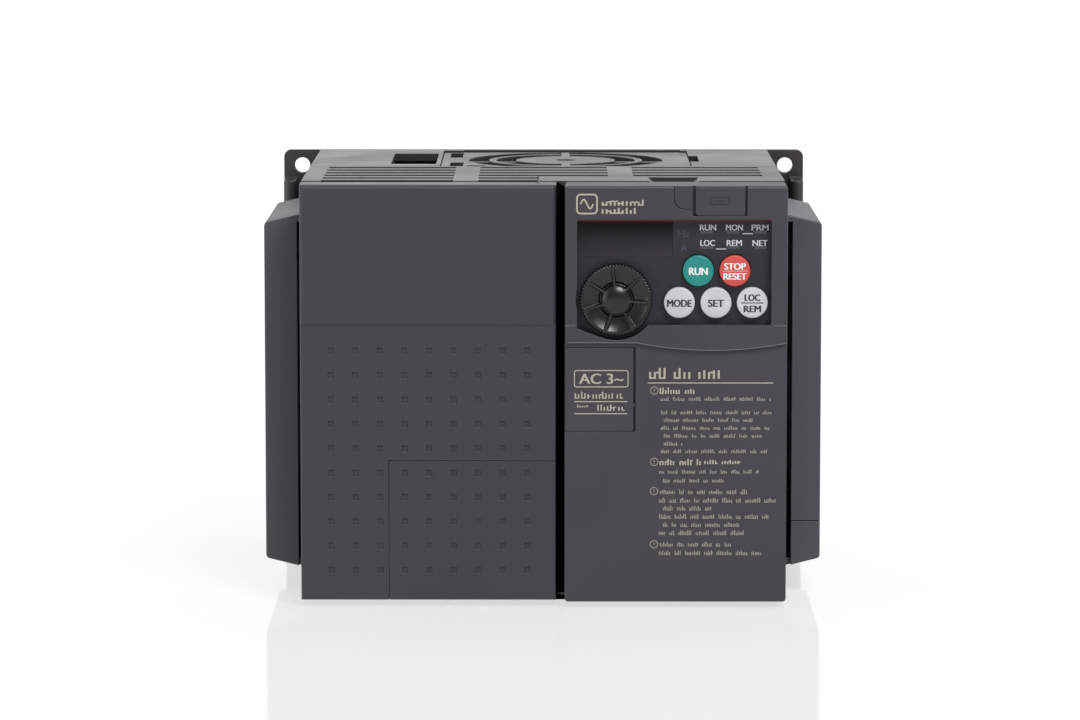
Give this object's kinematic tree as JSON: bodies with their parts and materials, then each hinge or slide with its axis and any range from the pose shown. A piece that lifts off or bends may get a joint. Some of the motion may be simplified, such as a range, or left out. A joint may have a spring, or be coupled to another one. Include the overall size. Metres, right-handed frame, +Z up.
{
  "type": "variable frequency drive",
  "caption": "Wall-mounted variable frequency drive with split front covers, keypad, setting dial, side covers, top fan and a flanged back with mounting holes.",
  "frame": {"origin": "centre of the overall footprint, on the underside", "axes": "+X to the right seen from the front, +Y from the front towards the wall, +Z up"},
  "size_m": [0.17, 0.1446, 0.128],
  "materials": {
    "cover_plastic": "fine moulded texture, dark grey",
    "housing_plastic": "fine moulded texture, dark grey",
    "casing_plastic": "fine moulded texture, near black",
    "fan_plastic": "black moulded",
    "bezel_plastic": "smooth dark blue-grey",
    "dial_plastic": "satin black",
    "window_smoke": "smoked, glossy",
    "lamp_lens": "translucent lens",
    "start_green": "satin",
    "stop_red": "satin",
    "key_white": "satin",
    "aluminium": "extruded",
    "steel": "zinc plated",
    "board_green": "solder mask",
    "component_black": "moulded component",
    "capacitor_sleeve": "shrink sleeve",
    "ferrite_grey": "ferrite and tape",
    "copper_winding": "enamelled copper",
    "film_yellow": "moulded box",
    "terminal_grey": "terminal moulding",
    "thermal_white": "silicone pad",
    "cable_grey": "flat cable",
    "charge_red": "lens"
  },
  "bodies": {
    "chassis": {"rear_casing": "casing_plastic", "heatsink": "aluminium", "casing_screws": "steel", "front_housing": "housing_plastic", "left_side_cover": "cover_plastic", "right_side_cover": "cover_plastic", "right_side_lower_cover": "cover_plastic", "keypad_bezel": "bezel_plastic", "display_window": "window_smoke", "display_module": "component_black", "indicator_lamps": "lamp_lens", "key_switches": "component_black", "encoder_body": "component_black", "panel_board": "board_green", "usb_connector": "steel", "rj45_socket": "component_black", "control_frame": "housing_plastic", "control_board": "board_green", "control_terminal_block": "terminal_grey", "option_connector": "component_black", "panel_connector": "component_black", "board_standoffs": "steel", "board_screws": "steel", "flat_cable": "cable_grey", "power_board": "board_green", "power_module": "component_black", "thermal_pad": "thermal_white", "module_screws": "steel", "bus_capacitors": "capacitor_sleeve", "inrush_relay": "component_black", "switching_transformer": "ferrite_grey", "choke_coil": "copper_winding", "film_capacitor": "film_yellow", "current_sensors": "component_black", "charge_lamp": "charge_red", "main_terminal_block": "terminal_grey", "main_terminal_screws": "steel", "earth_plate": "steel", "earth_screws": "steel"},
    "left_cover": {"left_front_cover": "cover_plastic"},
    "access_cover": {"lower_access_cover": "cover_plastic"},
    "right_cover": {"right_front_cover": "cover_plastic", "usb_cover_anchor": "cover_plastic"},
    "usb_flap": {"usb_cover": "cover_plastic"},
    "comm_flap": {"comm_port_cover": "cover_plastic"},
    "dial_plunger": {"encoder_plunger": "component_black"},
    "dial": {"setting_dial": "dial_plastic", "encoder_shaft": "steel"},
    "run_key": {"run_button": "start_green"},
    "stop_key": {"stop_reset_button": "stop_red"},
    "mode_key": {"mode_button": "key_white"},
    "set_key": {"set_button": "key_white"},
    "local_remote_key": {"local_remote_button": "key_white"},
    "fan_unit": {"fan_cover": "casing_plastic", "fan_housing": "fan_plastic", "fan_stator": "copper_winding"},
    "fan_wheel": {"fan_rotor": "fan_plastic"},
    "wiring_plate": {"wiring_cover": "cover_plastic"}
  },
  "joints": [
    {"name": "left_cover_pull", "type": "slide", "parent": "chassis", "child": "left_cover", "axis": [0, -1, 0], "range_m": [0, 0.03]},
    {"name": "access_cover_pull", "type": "slide", "parent": "left_cover", "child": "access_cover", "axis": [0, -1, 0], "range_m": [0, 0.03]},
    {"name": "right_cover_pull", "type": "slide", "parent": "chassis", "child": "right_cover", "axis": [0, -1, 0], "range_m": [0, 0.03]},
    {"name": "usb_cover_hinge", "type": "hinge", "parent": "right_cover", "child": "usb_flap", "pos_m": [0.04574, -0.07025, 0.1233], "axis": [0, 0, -1], "range_deg": [0, 150]},
    {"name": "comm_cover_hinge", "type": "hinge", "parent": "right_cover", "child": "comm_flap", "pos_m": [0.0068, -0.06945, 0.0664], "axis": [0, 0, -1], "range_deg": [0, 120]},
    {"name": "dial_push", "type": "slide", "parent": "chassis", "child": "dial_plunger", "axis": [0, 1, 0], "range_m": [0, 0.0005], "stiffness_N_per_m": 400},
    {"name": "dial_turn", "type": "hinge", "parent": "dial_plunger", "child": "dial", "pos_m": [0.022, -0.0685, 0.0936], "axis": [0, 1, 0], "continuous": true},
    {"name": "run_press", "type": "slide", "parent": "chassis", "child": "run_key", "axis": [0, 1, 0], "range_m": [0, 0.0005], "stiffness_N_per_m": 300},
    {"name": "stop_press", "type": "slide", "parent": "chassis", "child": "stop_key", "axis": [0, 1, 0], "range_m": [0, 0.0005], "stiffness_N_per_m": 300},
    {"name": "mode_press", "type": "slide", "parent": "chassis", "child": "mode_key", "axis": [0, 1, 0], "range_m": [0, 0.0005], "stiffness_N_per_m": 300},
    {"name": "set_press", "type": "slide", "parent": "chassis", "child": "set_key", "axis": [0, 1, 0], "range_m": [0, 0.0005], "stiffness_N_per_m": 300},
    {"name": "local_remote_press", "type": "slide", "parent": "chassis", "child": "local_remote_key", "axis": [0, 1, 0], "range_m": [0, 0.0005], "stiffness_N_per_m": 300},
    {"name": "fan_unit_lift", "type": "slide", "parent": "chassis", "child": "fan_unit", "axis": [0, 0, 1], "range_m": [0, 0.03]},
    {"name": "fan_spin", "type": "hinge", "parent": "fan_unit", "child": "fan_wheel", "pos_m": [0.0071, 0.034, 0.1176], "axis": [0, 0, 1], "continuous": true},
    {"name": "wiring_cover_pull", "type": "slide", "parent": "chassis", "child": "wiring_plate", "axis": [0, -1, 0], "range_m": [0, 0.036]}
  ]
}
